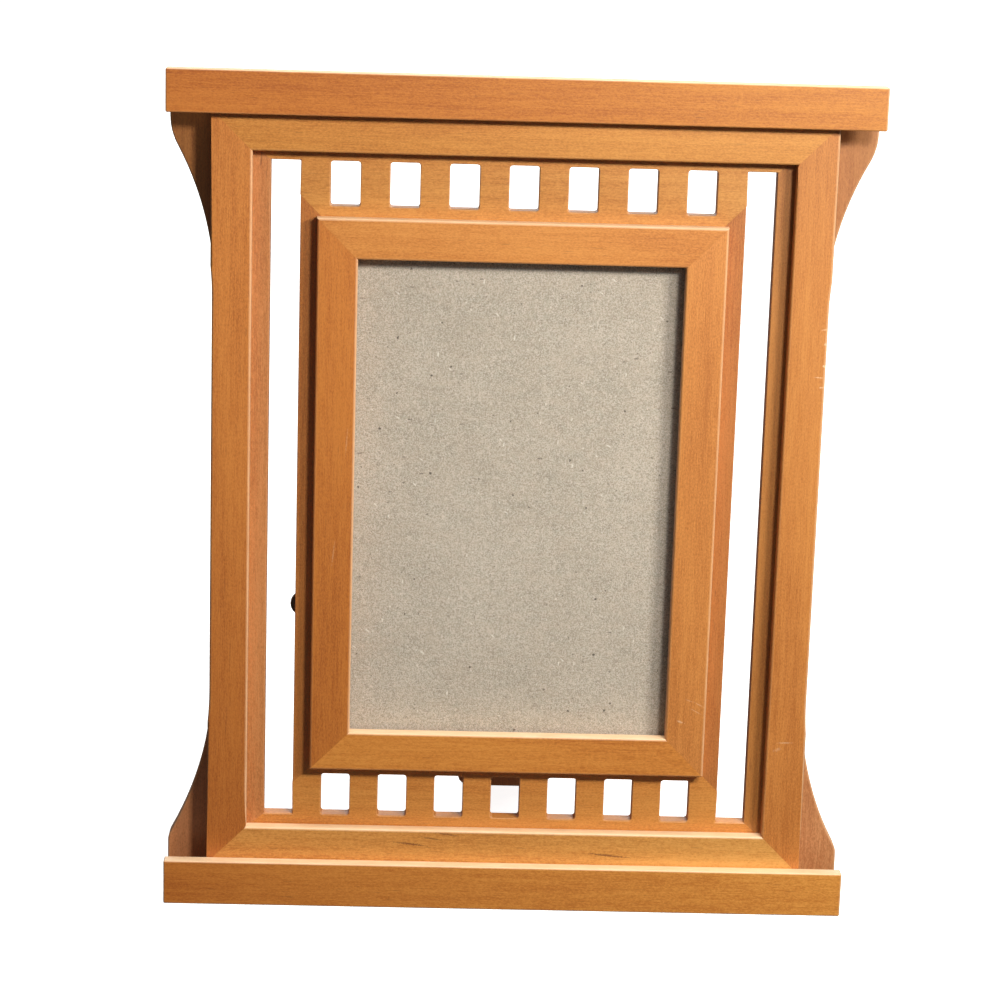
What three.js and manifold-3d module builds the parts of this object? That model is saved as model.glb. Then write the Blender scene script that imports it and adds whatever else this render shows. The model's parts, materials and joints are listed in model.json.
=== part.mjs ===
// Tabletop photo frame of honey-stained wood in a plain fretwork pattern, in millimetres, +Z up.
// It leans back on its base and stands on an easel leg that is open behind it.
// The origin is the centre of the base block's underside, on the surface that the frame stands on.
// Sizes in the frame's own plane: x to the viewer's right, z up from the middle of the window,
// and y towards the back from the front face of the two raised frames.
import * as THREE from "three";
import { mergeVertices } from "three/addons/utils/BufferGeometryUtils.js";
import Module from "manifold-3d";

// Stance
const LEAN = THREE.MathUtils.degToRad(10);
const LEG_SPREAD = THREE.MathUtils.degToRad(20);

// Print, and the window that shows it
const PRINT_WIDTH = 101.6;
const PRINT_HEIGHT = 152.4;
const PRINT_PLAY = 0.5;
const SIGHT_LIP_SIDE = 2.8;
const SIGHT_LIP_END = 3.7;

// Two raised frames with a lower fret layer between and behind them
const INNER_MOULDING_WIDTH = 12;
const OUTER_MOULDING_WIDTH = 12;
const MOULDING_THICKNESS = 4.5;
const REVEAL_WIDTH = 19;
const FRET_THICKNESS = 5;

// Openings in the fret: a row of small ones above and below, and a tall slot at each side
const HOLES_IN_ROW = 7;
const HOLE_WIDTH = 8.7;
const HOLE_HEIGHT = 13.2;
const HOLE_CORNER_RADIUS = 0.8;

// Bars across the front, and the blocks that stay out of sight behind them
const BAR_LENGTH = 207.6;
const BAR_HEIGHT = 12.7;
const BAR_THICKNESS = 4.3;
const BAR_LAP = 1;
const BASE_LAP = 2.2;
const BLOCK_DROP = 2;
const BLOCK_INSET = 1;

// Side wings: round tips run into a concave sweep, which also trims the outer frame at its waist
const WING_HALF_SPAN = 103.6;
const WING_THICKNESS = 6;
const WING_LAP = 15;
const WING_TOP_DROP = 3;
const WAIST_CUT = 0.5;
const WAIST_HALF_HEIGHT = 60;
const UPPER_TIP_RADIUS = 18;
const LOWER_TIP_RADIUS = 6;
const TIP_DROP = 2.5;

// What lies in the rebate; the back board fills the depth that is left
const GLASS_THICKNESS = 1.8;
const CARD_THICKNESS = 1;

// Easel leg and its hinge
const LEG_TOP_WIDTH = 27;
const LEG_FOOT_WIDTH = 27;
const LEG_THICKNESS = 3;
const LEG_CORNER_RADIUS = 4;
const HINGE_RISE = 54;
const HINGE_WIDTH = 24;
const LEAF_LENGTH = 15;
const LEAF_THICKNESS = 0.8;
const PIN_RADIUS = 0.8;
const PIN_HEAD_RADIUS = 1.5;
const PIN_HEAD_LENGTH = 0.8;
const RIVET_SPACING = 14;
const RIVET_RADIUS = 0.9;
const RIVET_HEAD_RADIUS = 2;
const RIVET_HEAD_HEIGHT = 0.8;
const RIVET_GRIP = 1.4;

// Turn buttons, which hold the back board, and their screws
const BUTTON_WIDTH = 8;
const BUTTON_NOSE = 13;
const BUTTON_TAIL = 5.5;
const BUTTON_THICKNESS = 1.4;
const BUTTON_INSET = 7;
const BUTTON_RISE = 35;
const BUTTON_STRAY = 3; // the lower left button sits further out, so that its tail shows in the slot
const SCREW_RADIUS = 1.2;
const SCREW_HEAD_RADIUS = 2.6;
const SCREW_HEAD_HEIGHT = 1.4;
const SCREW_GRIP = 3.5;
const WING_SCREW_INSET = 7;
const WING_SCREW_DROP = 14;

// Clearances
const GLUE_GAP = 0.15; // between pieces that lie on each other
const RUNNING_GAP = 0.3; // between pieces that move past each other
const SHANK_PLAY = 0.2; // round a screw or a rivet in its hole

// Facets
const SWEEP_STEPS = 14;
const TIP_STEPS = 6;
const CORNER_STEPS = 3;
const ROUND_STEPS = 20;

// Half sizes across the frame, from the window outwards
const printHalf = new THREE.Vector2(PRINT_WIDTH / 2, PRINT_HEIGHT / 2);
const rebateHalf = printHalf.clone().addScalar(PRINT_PLAY);
const windowHalf = printHalf.clone().sub(new THREE.Vector2(SIGHT_LIP_SIDE, SIGHT_LIP_END));
const innerHalf = windowHalf.clone().addScalar(INNER_MOULDING_WIDTH);
const openingHalf = innerHalf.clone().addScalar(REVEAL_WIDTH);
const outerHalf = openingHalf.clone().addScalar(OUTER_MOULDING_WIDTH);

// The openings lie along the middle of the reveal, at one even spacing
const slotCentre = innerHalf.x + REVEAL_WIDTH / 2;
const slotInner = slotCentre - HOLE_WIDTH / 2;
const slotOuter = slotCentre + HOLE_WIDTH / 2;
const holeRow = innerHalf.y + REVEAL_WIDTH / 2;
const slotEnd = holeRow + HOLE_HEIGHT / 2;
const holePitch = (2 * slotCentre) / (HOLES_IN_ROW + 1);
const stripEnd = rebateHalf.y + (slotInner - rebateHalf.x);
const mitreGap = GLUE_GAP * Math.SQRT2;

// Layers, front to back
const barFront = -GLUE_GAP - BAR_THICKNESS;
const fretFront = MOULDING_THICKNESS + GLUE_GAP;
const fretRear = fretFront + FRET_THICKNESS;
const glassFront = fretFront;
const cardFront = glassFront + GLASS_THICKNESS + GLUE_GAP;
const backBoardFront = cardFront + CARD_THICKNESS + GLUE_GAP;
const backBoardThickness = fretRear - backBoardFront;
const wingFront = fretRear + GLUE_GAP;
const wingRear = wingFront + WING_THICKNESS;

// Heights of the bars, and of the floor below each depth: the underside is cut to the lean
const barInner = outerHalf.y - BAR_LAP;
const barOuter = barInner + BAR_HEIGHT;
const baseInner = outerHalf.y - BASE_LAP;
const blockInner = outerHalf.y + GLUE_GAP;
const floorAt = (depth) => -barOuter + (depth - barFront) * Math.tan(LEAN);
const originDepth = fretRear / 2;

// The wing's edge: straight at the waist, then at each end a sweep that meets the round tip without a corner
const waist = outerHalf.x - WAIST_CUT;
const tipHeight = barInner - TIP_DROP;
const sweepRise = tipHeight - WAIST_HALF_HEIGHT;
const sweepReach = WING_HALF_SPAN - waist;
const sweepAndTip = (sweepReach ** 2 + sweepRise ** 2) / (2 * sweepReach);
const upperSweep = sweepAndTip - UPPER_TIP_RADIUS;
const lowerSweep = sweepAndTip - LOWER_TIP_RADIUS;
const tipAngle = Math.asin(sweepRise / sweepAndTip);

// Hinge: the knuckles are as deep as the leg and its leaf together
const knuckleRadius = (LEG_THICKNESS + GLUE_GAP + LEAF_THICKNESS) / 2;
const boreRadius = PIN_RADIUS + RUNNING_GAP;
const hingeDepth = fretRear + RUNNING_GAP + knuckleRadius;
const knuckleLength = (HINGE_WIDTH - 2 * RUNNING_GAP) / 3;
const knuckleSpacing = knuckleLength + RUNNING_GAP;
const knuckleClear = knuckleRadius + 2 * RUNNING_GAP;
const legFront = -knuckleRadius;
const movingLeafFront = knuckleRadius - LEAF_THICKNESS;
const fixedLeafFront = fretRear + GLUE_GAP - hingeDepth;

// Leg length, so that the front edge of its foot meets the floor when it is open
const hingeHeight =
  (HINGE_RISE - floorAt(originDepth)) * Math.cos(LEAN) - (hingeDepth - originDepth) * Math.sin(LEAN);
const legTilt = LEG_SPREAD - LEAN;
const legLength = (hingeHeight + legFront * Math.sin(legTilt)) / Math.cos(legTilt);

const HONEY_WOOD = { color: 0xc98442, roughness: 0.45, metalness: 0 };
const HONEY_WOOD_SIDE = { color: 0xb9713a, roughness: 0.45, metalness: 0 };
const CLEAR_GLASS = { color: 0xe8f0ee, roughness: 0.05, metalness: 0, transparent: true, opacity: 0.2 };
const GREY_CHIPBOARD = { color: 0xb8ad9a, roughness: 0.9, metalness: 0 };
const BROWN_HARDBOARD = { color: 0x7a5335, roughness: 0.7, metalness: 0 };
const DARK_STEEL = { color: 0x3d3a36, roughness: 0.4, metalness: 1 };
const BRIGHT_STEEL = { color: 0xa8a49c, roughness: 0.3, metalness: 1 };

const SIDES = [
  { hand: "left", side: -1 },
  { hand: "right", side: 1 },
];
const ENDS = [
  { level: "upper", place: "top", end: 1 },
  { level: "lower", place: "bottom", end: -1 },
];

const wasm = await Module();
wasm.setup();

// A closed geometry as a solid that can be joined and cut.
function solidOf(geometry) {
  const bare = geometry.clone();
  bare.deleteAttribute("normal");
  bare.deleteAttribute("uv");
  const merged = mergeVertices(bare);
  const vertProperties = merged.getAttribute("position").array;
  const triVerts = new Uint32Array(merged.index.array);
  return new wasm.Manifold(new wasm.Mesh({ numProp: 3, vertProperties, triVerts }));
}

// A solid back as a geometry.
function geometryOf(solid) {
  const mesh = solid.getMesh();
  const geometry = new THREE.BufferGeometry();
  geometry.setAttribute("position", new THREE.BufferAttribute(mesh.vertProperties, mesh.numProp));
  geometry.setIndex(new THREE.BufferAttribute(mesh.triVerts, 1));
  geometry.computeVertexNormals();
  return geometry;
}

// Several closed geometries joined into one.
function joined(...geometries) {
  return geometryOf(geometries.map(solidOf).reduce((whole, next) => whole.add(next)));
}

// A geometry with blind holes drilled in from the back, each at [x, z].
function drilled(geometry, places, radius, rear, depth) {
  const drills = places.map(([x, z]) => {
    const drill = new THREE.CylinderGeometry(radius, radius, 2 * depth, ROUND_STEPS);
    return drill.translate(x, rear, z);
  });
  return geometryOf(drills.map(solidOf).reduce((left, drill) => left.subtract(drill), solidOf(geometry)));
}

// Points along an arc.
function arc(x, z, radius, from, to, steps) {
  return new THREE.EllipseCurve(x, z, radius, radius, from, to, to < from).getPoints(steps);
}

// An outline through [x, z] pairs and points, turned over for the left side.
function outline(points, side = 1) {
  return new THREE.Shape(points.map((p) => new THREE.Vector2(side * (p.x ?? p[0]), p.y ?? p[1])));
}

// A round hole for an outline.
function roundHole(x, z, radius) {
  return new THREE.Path(arc(x, z, radius, 0, 2 * Math.PI, ROUND_STEPS).slice(1));
}

// A rectangle with rounded corners, as a list of points.
function roundedRectangle(x, z, width, height, radius) {
  const quarter = Math.PI / 2;
  const across = width / 2 - radius;
  const up = height / 2 - radius;
  const corners = [[1, 1], [-1, 1], [-1, -1], [1, -1]];
  return corners.flatMap(([right, top], i) =>
    arc(x + right * across, z + top * up, radius, i * quarter, (i + 1) * quarter, CORNER_STEPS),
  );
}

// A flat piece: an outline in the frame's plane, from its front face towards the back.
function board(shape, front, thickness) {
  const geometry = new THREE.ExtrudeGeometry(shape, { depth: thickness, bevelEnabled: false });
  return geometry.rotateX(Math.PI / 2).translate(0, front + thickness, 0);
}

// A strip: a section of [y, z] points, run along x and centred on centre.
function strip(section, length, centre = 0) {
  const geometry = new THREE.ExtrudeGeometry(section, { depth: length, bevelEnabled: false });
  const along = new THREE.Matrix4().makeBasis(
    new THREE.Vector3(0, 1, 0),
    new THREE.Vector3(0, 0, 1),
    new THREE.Vector3(1, 0, 0),
  );
  return geometry.translate(0, 0, centre - length / 2).applyMatrix4(along);
}

// A screw or rivet that points to the front: its shank ends at y = 0 and its low dome faces the back.
function fastener(shankRadius, shankLength, headRadius, headHeight) {
  const profile = [
    [0, 0],
    [shankRadius, 0],
    [shankRadius, shankLength],
    [headRadius, shankLength],
    [headRadius * 0.9, shankLength + headHeight * 0.6],
    [headRadius * 0.5, shankLength + headHeight * 0.93],
    [0, shankLength + headHeight],
  ];
  return new THREE.LatheGeometry(profile.map(([r, y]) => new THREE.Vector2(r, y)), ROUND_STEPS);
}

// A named piece with its own finish.
function piece(name, geometry, finish) {
  const mesh = new THREE.Mesh(geometry, new THREE.MeshStandardMaterial(finish));
  mesh.name = name;
  return mesh;
}

// The right-hand sweep from the bottom to the top: in to the waist and out, by an angle for each radius.
function sweptEdge(angleFor) {
  const lower = Math.PI + angleFor(lowerSweep);
  const upper = Math.PI - angleFor(upperSweep);
  return [
    ...arc(waist + lowerSweep, -WAIST_HALF_HEIGHT, lowerSweep, lower, Math.PI, SWEEP_STEPS),
    ...arc(waist + upperSweep, WAIST_HALF_HEIGHT, upperSweep, Math.PI, upper, SWEEP_STEPS),
  ];
}

// The same edge trimmed into a straight side of the frame.
function trimmedEdge(reach) {
  const edge = sweptEdge((radius) => Math.acos(1 - WAIST_CUT / radius));
  return [[outerHalf.x, -reach], ...edge, [outerHalf.x, reach]];
}

// The wing's whole edge, with its round tips.
function wingEdge() {
  const lowerCentre = WING_HALF_SPAN - LOWER_TIP_RADIUS;
  const upperCentre = WING_HALF_SPAN - UPPER_TIP_RADIUS;
  const lower = arc(lowerCentre, -tipHeight, LOWER_TIP_RADIUS, 0, tipAngle, TIP_STEPS);
  const upper = arc(upperCentre, tipHeight, UPPER_TIP_RADIUS, -tipAngle, 0, TIP_STEPS);
  return [...lower.slice(0, -1), ...sweptEdge(() => tipAngle), ...upper.slice(1)];
}

// Bars across the front and the blocks behind them, with undersides cut to the lean.
function barsAndBlocks() {
  const section = (front, rear, low, high) =>
    outline([[front, low(front)], [rear, low(rear)], [rear, high], [front, high]]);
  const blockLength = 2 * (outerHalf.x - BLOCK_INSET);
  const blockTop = barOuter - BLOCK_DROP;
  const barRear = barFront + BAR_THICKNESS;
  return [
    piece("top_bar", strip(section(barFront, barRear, () => barInner, barOuter), BAR_LENGTH), HONEY_WOOD),
    piece("top_block", strip(section(0, fretRear, () => blockInner, blockTop), blockLength), HONEY_WOOD),
    piece("base_bar", strip(section(barFront, barRear, floorAt, -baseInner), BAR_LENGTH), HONEY_WOOD),
    piece("base_block", strip(section(0, fretRear, floorAt, -blockInner), blockLength), HONEY_WOOD),
  ];
}

// The raised outer frame: mitred rails and stiles, the stiles trimmed at the waist.
function outerFrame() {
  const made = [];
  for (const { place, end } of ENDS) {
    const rail = outline([
      [-openingHalf.x, end * openingHalf.y],
      [openingHalf.x, end * openingHalf.y],
      [outerHalf.x, end * outerHalf.y],
      [-outerHalf.x, end * outerHalf.y],
    ]);
    made.push(piece(`outer_rail_${place}`, board(rail, 0, MOULDING_THICKNESS), HONEY_WOOD));
  }
  const inner = openingHalf.y - mitreGap;
  const outer = outerHalf.y - mitreGap;
  for (const { hand, side } of SIDES) {
    const edge = trimmedEdge(outer);
    const stile = outline([[openingHalf.x, inner], [openingHalf.x, -inner], ...edge], side);
    made.push(piece(`outer_stile_${hand}`, board(stile, 0, MOULDING_THICKNESS), HONEY_WOOD_SIDE));
  }
  return made;
}

// The raised inner frame round the window.
function innerFrame() {
  const made = [];
  for (const { place, end } of ENDS) {
    const rail = outline([
      [-windowHalf.x, end * windowHalf.y],
      [windowHalf.x, end * windowHalf.y],
      [innerHalf.x, end * innerHalf.y],
      [-innerHalf.x, end * innerHalf.y],
    ]);
    made.push(piece(`inner_rail_${place}`, board(rail, 0, MOULDING_THICKNESS), HONEY_WOOD));
  }
  const inner = windowHalf.y - mitreGap;
  const outer = innerHalf.y - mitreGap;
  for (const { hand, side } of SIDES) {
    const stile = outline(
      [[windowHalf.x, inner], [windowHalf.x, -inner], [innerHalf.x, -outer], [innerHalf.x, outer]],
      side,
    );
    made.push(piece(`inner_stile_${hand}`, board(stile, 0, MOULDING_THICKNESS), HONEY_WOOD_SIDE));
  }
  return made;
}

// A fret board with its row of openings; its ends close the tall slots and are mitred both ways.
function fretBoard(end) {
  const rightHalf = [
    [rebateHalf.x, rebateHalf.y],
    [slotInner, stripEnd],
    [slotInner, slotEnd],
    [slotOuter, slotEnd],
    [outerHalf.x, outerHalf.y],
  ];
  const leftHalf = rightHalf.map(([x, z]) => [-x, z]).reverse();
  const shape = outline([...rightHalf, ...leftHalf].map(([x, z]) => [x, end * z]));
  for (let i = 0; i < HOLES_IN_ROW; i += 1) {
    const x = (i - (HOLES_IN_ROW - 1) / 2) * holePitch;
    const hole = roundedRectangle(x, end * holeRow, HOLE_WIDTH, HOLE_HEIGHT, HOLE_CORNER_RADIUS);
    shape.holes.push(new THREE.Path(hole));
  }
  return board(shape, fretFront, FRET_THICKNESS);
}

// Where a turn button's screw stands.
function buttonPlace(side, end) {
  const stray = side < 0 && end < 0 ? BUTTON_STRAY : 0;
  return [side * (rebateHalf.x + BUTTON_INSET + stray), end * BUTTON_RISE];
}

// Where a wing's screw stands.
function wingScrewPlace(side, end) {
  return [side * (outerHalf.x - WING_SCREW_INSET), end * (slotEnd + WING_SCREW_INSET - WING_SCREW_DROP)];
}

// The lower layer: two fret boards, a strip at each side of the window and one outside each slot.
function fretLayer() {
  const made = ENDS.map(({ place, end }) => piece(`fret_${place}`, fretBoard(end), HONEY_WOOD));
  const pilot = SCREW_RADIUS + SHANK_PLAY;
  const pilotDepth = SCREW_GRIP + SHANK_PLAY;
  for (const { hand, side } of SIDES) {
    const low = rebateHalf.y - mitreGap;
    const high = stripEnd - mitreGap;
    const inner = [[rebateHalf.x, low], [rebateHalf.x, -low], [slotInner, -high], [slotInner, high]];
    const innerBoard = board(outline(inner, side), fretFront, FRET_THICKNESS);
    const buttons = ENDS.map(({ end }) => buttonPlace(side, end));
    const innerStrip = drilled(innerBoard, buttons, pilot, fretRear, pilotDepth);
    made.push(piece(`fret_strip_${hand}`, innerStrip, HONEY_WOOD_SIDE));

    const reach = outerHalf.y - mitreGap;
    const slotReach = slotEnd - mitreGap;
    const edge = trimmedEdge(reach);
    const outer = [[slotOuter, slotReach], [slotOuter, -slotReach], ...edge];
    const outerBoard = board(outline(outer, side), fretFront, FRET_THICKNESS);
    const screws = ENDS.map(({ end }) => wingScrewPlace(side, end));
    const outerStrip = drilled(outerBoard, screws, pilot, fretRear, pilotDepth);
    made.push(piece(`edge_strip_${hand}`, outerStrip, HONEY_WOOD_SIDE));
  }
  return made;
}

// The flared boards behind the frame, down to the floor, with their screws.
function sideWings() {
  const made = [];
  const bottom = floorAt(wingRear) + GLUE_GAP;
  const top = barOuter - WING_TOP_DROP;
  const inner = outerHalf.x - WING_LAP;
  const shank = WING_THICKNESS + GLUE_GAP + SCREW_GRIP;
  for (const { hand, side } of SIDES) {
    const edge = [[WING_HALF_SPAN, bottom], ...wingEdge(), [WING_HALF_SPAN, top]];
    const wing = outline([[inner, top], [inner, bottom], ...edge], side);
    for (const { level, end } of ENDS) {
      const [x, z] = wingScrewPlace(side, end);
      wing.holes.push(roundHole(x, z, SCREW_RADIUS + SHANK_PLAY));
      const length = shank + GLUE_GAP;
      const screw = fastener(SCREW_RADIUS, length, SCREW_HEAD_RADIUS, SCREW_HEAD_HEIGHT);
      const placed = piece(`wing_screw_${level}_${hand}`, screw, DARK_STEEL);
      placed.position.set(x, fretRear - SCREW_GRIP, z);
      made.push(placed);
    }
    made.push(piece(`side_wing_${hand}`, board(wing, wingFront, WING_THICKNESS), HONEY_WOOD_SIDE));
  }
  return made;
}

// Rivets of the hinge's fixed leaf, across it.
const rivetPlaces = [-1, 1].map((side) => (side * RIVET_SPACING) / 2);
const rivetRise = (knuckleClear + LEAF_LENGTH) / 2;

// Glass, card and back board in the rebate.
function fillings() {
  const sheet = ({ x, y }) => outline([[-x, -y], [x, -y], [x, y], [-x, y]]);
  const pane = board(sheet(printHalf), glassFront, GLASS_THICKNESS);
  const card = board(sheet(printHalf), cardFront, CARD_THICKNESS);
  const back = board(sheet(printHalf), backBoardFront, backBoardThickness);
  const holes = rivetPlaces.map((x) => [x, HINGE_RISE + rivetRise]);
  const bored = drilled(back, holes, RIVET_RADIUS + SHANK_PLAY, fretRear, RIVET_GRIP + SHANK_PLAY);
  return [
    piece("glass_pane", pane, CLEAR_GLASS),
    piece("backing_card", card, GREY_CHIPBOARD),
    piece("back_board", bored, BROWN_HARDBOARD),
  ];
}

// Turn buttons at the sides of the back board, noses inwards, each on its screw.
function turnButtons() {
  const made = [];
  const tip = BUTTON_WIDTH / 2;
  const quarter = Math.PI / 2;
  const front = fretRear + RUNNING_GAP;
  const shank = SCREW_GRIP + BUTTON_THICKNESS + 2 * RUNNING_GAP;
  for (const { hand, side } of SIDES) {
    for (const { level, end } of ENDS) {
      const shape = outline(
        [
          ...arc(BUTTON_TAIL - tip, 0, tip, -quarter, quarter, ROUND_STEPS / 2),
          ...arc(tip - BUTTON_NOSE, 0, tip, quarter, 3 * quarter, ROUND_STEPS / 2),
        ],
        side,
      );
      shape.holes.push(roundHole(0, 0, SCREW_RADIUS + RUNNING_GAP));
      const [x, z] = buttonPlace(side, end);
      const button = piece(`turn_button_${level}_${hand}`, board(shape, 0, BUTTON_THICKNESS), DARK_STEEL);
      button.position.set(x, front, z);
      const screw = fastener(SCREW_RADIUS, shank, SCREW_HEAD_RADIUS, SCREW_HEAD_HEIGHT);
      const placed = piece(`button_screw_${level}_${hand}`, screw, BRIGHT_STEEL);
      placed.position.set(x, fretRear - SCREW_GRIP, z);
      made.push(button, placed);
    }
  }
  return made;
}

// One knuckle of the hinge, round its axis.
function knuckle(centre) {
  const ring = outline(arc(0, 0, knuckleRadius, 0, 2 * Math.PI, ROUND_STEPS).slice(1));
  ring.holes.push(roundHole(0, 0, boreRadius));
  return strip(ring, knuckleLength, centre);
}

// A leaf's plate: outer part clear of the knuckles, with a tongue to each knuckle of its own.
function leafPlate(tongues, direction, front) {
  const half = HINGE_WIDTH / 2;
  const near = direction * knuckleClear;
  const far = direction * LEAF_LENGTH;
  const plate = outline([[-half, near], [half, near], [half, far], [-half, far]]);
  for (const x of rivetPlaces) {
    plate.holes.push(roundHole(x, direction * rivetRise, RIVET_RADIUS + SHANK_PLAY));
  }
  const knuckleHalf = knuckleLength / 2;
  const links = tongues.map((x) => {
    const reach = direction * (knuckleClear + LEAF_THICKNESS);
    const link = outline([
      [x - knuckleHalf, 0],
      [x + knuckleHalf, 0],
      [x + knuckleHalf, reach],
      [x - knuckleHalf, reach],
    ]);
    return board(link, front, LEAF_THICKNESS);
  });
  return joined(board(plate, front, LEAF_THICKNESS), ...links, ...tongues.map(knuckle));
}

// Rivets of one leaf, heads to the back, with grip behind the leaf's front face.
function leafRivets(label, leafFront, rise) {
  const shank = RIVET_GRIP + LEAF_THICKNESS + 2 * GLUE_GAP;
  return rivetPlaces.map((x, i) => {
    const rivet = fastener(RIVET_RADIUS, shank, RIVET_HEAD_RADIUS, RIVET_HEAD_HEIGHT);
    const placed = piece(`hinge_rivet_${label}_${SIDES[i].hand}`, rivet, BRIGHT_STEEL);
    placed.position.set(x, leafFront - GLUE_GAP - RIVET_GRIP, rise);
    return placed;
  });
}

// The hinge's fixed half and its pin, round the hinge's axis.
function hingeBase() {
  const half = HINGE_WIDTH / 2 + GLUE_GAP;
  const pinProfile = [
    [0, -half - PIN_HEAD_LENGTH],
    [PIN_HEAD_RADIUS, -half - PIN_HEAD_LENGTH],
    [PIN_HEAD_RADIUS, -half],
    [PIN_RADIUS, -half],
    [PIN_RADIUS, half],
    [PIN_HEAD_RADIUS, half],
    [PIN_HEAD_RADIUS, half + PIN_HEAD_LENGTH],
    [0, half + PIN_HEAD_LENGTH],
  ];
  const pin = new THREE.LatheGeometry(pinProfile.map(([r, y]) => new THREE.Vector2(r, y)), ROUND_STEPS);
  const fixedLeaf = leafPlate([-knuckleSpacing, knuckleSpacing], 1, fixedLeafFront);
  return [
    piece("hinge_fixed_leaf", fixedLeaf, BRIGHT_STEEL),
    piece("hinge_pin", pin.rotateZ(-Math.PI / 2), BRIGHT_STEEL),
    ...leafRivets("fixed", fixedLeafFront, rivetRise),
  ];
}

// The leg and the hinge's moving half, folded flat, round the hinge's axis.
function easelLeg() {
  const top = -knuckleClear;
  const foot = LEG_FOOT_WIDTH / 2 - LEG_CORNER_RADIUS;
  const footCentre = LEG_CORNER_RADIUS - legLength;
  const quarter = Math.PI / 2;
  const shape = outline([
    [LEG_TOP_WIDTH / 2, top],
    [-LEG_TOP_WIDTH / 2, top],
    ...arc(-foot, footCentre, LEG_CORNER_RADIUS, 2 * quarter, 3 * quarter, CORNER_STEPS),
    ...arc(foot, footCentre, LEG_CORNER_RADIUS, 3 * quarter, 4 * quarter, CORNER_STEPS),
  ]);
  const legRear = legFront + LEG_THICKNESS;
  const holes = rivetPlaces.map((x) => [x, -rivetRise]);
  const plank = board(shape, legFront, LEG_THICKNESS);
  const bored = drilled(plank, holes, RIVET_RADIUS + SHANK_PLAY, legRear, RIVET_GRIP + SHANK_PLAY);
  return [
    piece("easel_leg", bored, HONEY_WOOD_SIDE),
    piece("hinge_moving_leaf", leafPlate([0], -1, movingLeafFront), BRIGHT_STEEL),
    ...leafRivets("moving", movingLeafFront, -rivetRise),
  ];
}

const hinge = new THREE.Group();
hinge.position.set(0, hingeDepth, HINGE_RISE);
const openLeg = new THREE.Group();
openLeg.rotation.x = LEG_SPREAD;
openLeg.add(...easelLeg());
hinge.add(...hingeBase(), openLeg);

const uprightFrame = new THREE.Group();
uprightFrame.position.set(0, -originDepth, -floorAt(originDepth));
uprightFrame.add(
  ...barsAndBlocks(),
  ...outerFrame(),
  ...fretLayer(),
  ...innerFrame(),
  ...sideWings(),
  ...fillings(),
  ...turnButtons(),
  hinge,
);

const photoFrame = new THREE.Group();
photoFrame.rotation.x = -LEAN;
photoFrame.add(uprightFrame);

export default photoFrame;
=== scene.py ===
"""Looks of a tabletop photo frame: honey-stained boards, glass, chipboard and plated fittings."""

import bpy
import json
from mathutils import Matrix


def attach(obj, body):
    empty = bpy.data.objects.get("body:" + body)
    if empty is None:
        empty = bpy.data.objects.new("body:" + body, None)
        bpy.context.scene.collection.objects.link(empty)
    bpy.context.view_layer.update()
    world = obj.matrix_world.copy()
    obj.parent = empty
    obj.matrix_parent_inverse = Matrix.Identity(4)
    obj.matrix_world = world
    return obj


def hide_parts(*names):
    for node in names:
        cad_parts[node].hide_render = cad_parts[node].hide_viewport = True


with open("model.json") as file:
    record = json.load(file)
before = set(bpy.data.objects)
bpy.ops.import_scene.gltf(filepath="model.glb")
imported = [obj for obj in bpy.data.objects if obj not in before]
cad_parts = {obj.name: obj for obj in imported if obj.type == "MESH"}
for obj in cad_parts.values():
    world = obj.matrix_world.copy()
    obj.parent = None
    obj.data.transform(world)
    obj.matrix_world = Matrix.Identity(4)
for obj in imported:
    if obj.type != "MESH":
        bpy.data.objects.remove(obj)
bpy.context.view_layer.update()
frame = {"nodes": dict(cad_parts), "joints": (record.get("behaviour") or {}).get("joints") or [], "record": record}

import json
import logging
import math
from dataclasses import dataclass
from enum import Enum
from functools import partial, reduce
from typing import Sequence

import bmesh
import bpy
from bmesh.types import BMesh, BMFace, BMVert
from bpy.types import Material, Node, NodeSocket as Socket, Object
from mathutils import Matrix, Quaternion, Vector

LOG = logging.getLogger("photo_frame")
MM = 0.001
Colour = tuple[float, float, float, float]
Tint = tuple[float, float, float]
Tints = tuple[Tint, Tint]
WHITE: Colour = (1.0, 1.0, 1.0, 1.0)
HANDS = ("left", "right")
QUAD = 4

# What counts as a corner and as flat, in radians, and as one point and as a sliver, in metres.
SHARP_ANGLE = math.radians(35)
FLAT_ANGLE = math.radians(0.05)
WELD = 0.00002
SLIVER = 0.000003

# A face attribute keeps how pale a face is made, 0 not at all, 1 fully: a little real rubbing of the stain, and
# mostly painted highlight on faces and edges that face up or to the right.
PALE_WEAR_AND_LIGHT = "eased"
# The least paleness anywhere, and the shares by which sides and eased edges that face right are painted paler as
# painted highlight.
LEAST_WEAR = 0.1
SIDE_RIGHT_LIGHT = 0.35
EDGE_RIGHT_LIGHT = 1.0


def srgb(red: float, green: float, blue: float) -> Colour:
    """A colour in screen values, as the linear values that a shader takes.

    Args:
        red: Red, 0 to 255.
        green: Green, 0 to 255.
        blue: Blue, 0 to 255.

    Returns:
        Linear red, green and blue, with full alpha.
    """

    def linear(value: float) -> float:
        """One channel, by the standard curve."""
        share = value / 255
        return share / 12.92 if share <= 0.04045 else ((share + 0.055) / 1.055) ** 2.4

    return (linear(red), linear(green), linear(blue), 1.0)


def toned(colour: Colour, tint: Tint) -> Colour:
    """The colour with its red, green and blue each made darker or lighter by a factor."""
    red, green, blue = (min(1.0, part * factor) for part, factor in zip(colour, tint))
    return (red, green, blue, 1.0)


def shaped(name: str, work: BMesh) -> Object:
    """A bmesh, which is freed, as a new object in the scene.

    Args:
        name: The object's name.
        work: Its shape.

    Returns:
        The object.
    """
    mesh = bpy.data.meshes.new(name)
    work.to_mesh(mesh)
    work.free()
    thing = bpy.data.objects.new(name, mesh)
    bpy.context.scene.collection.objects.link(thing)
    return thing


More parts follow.
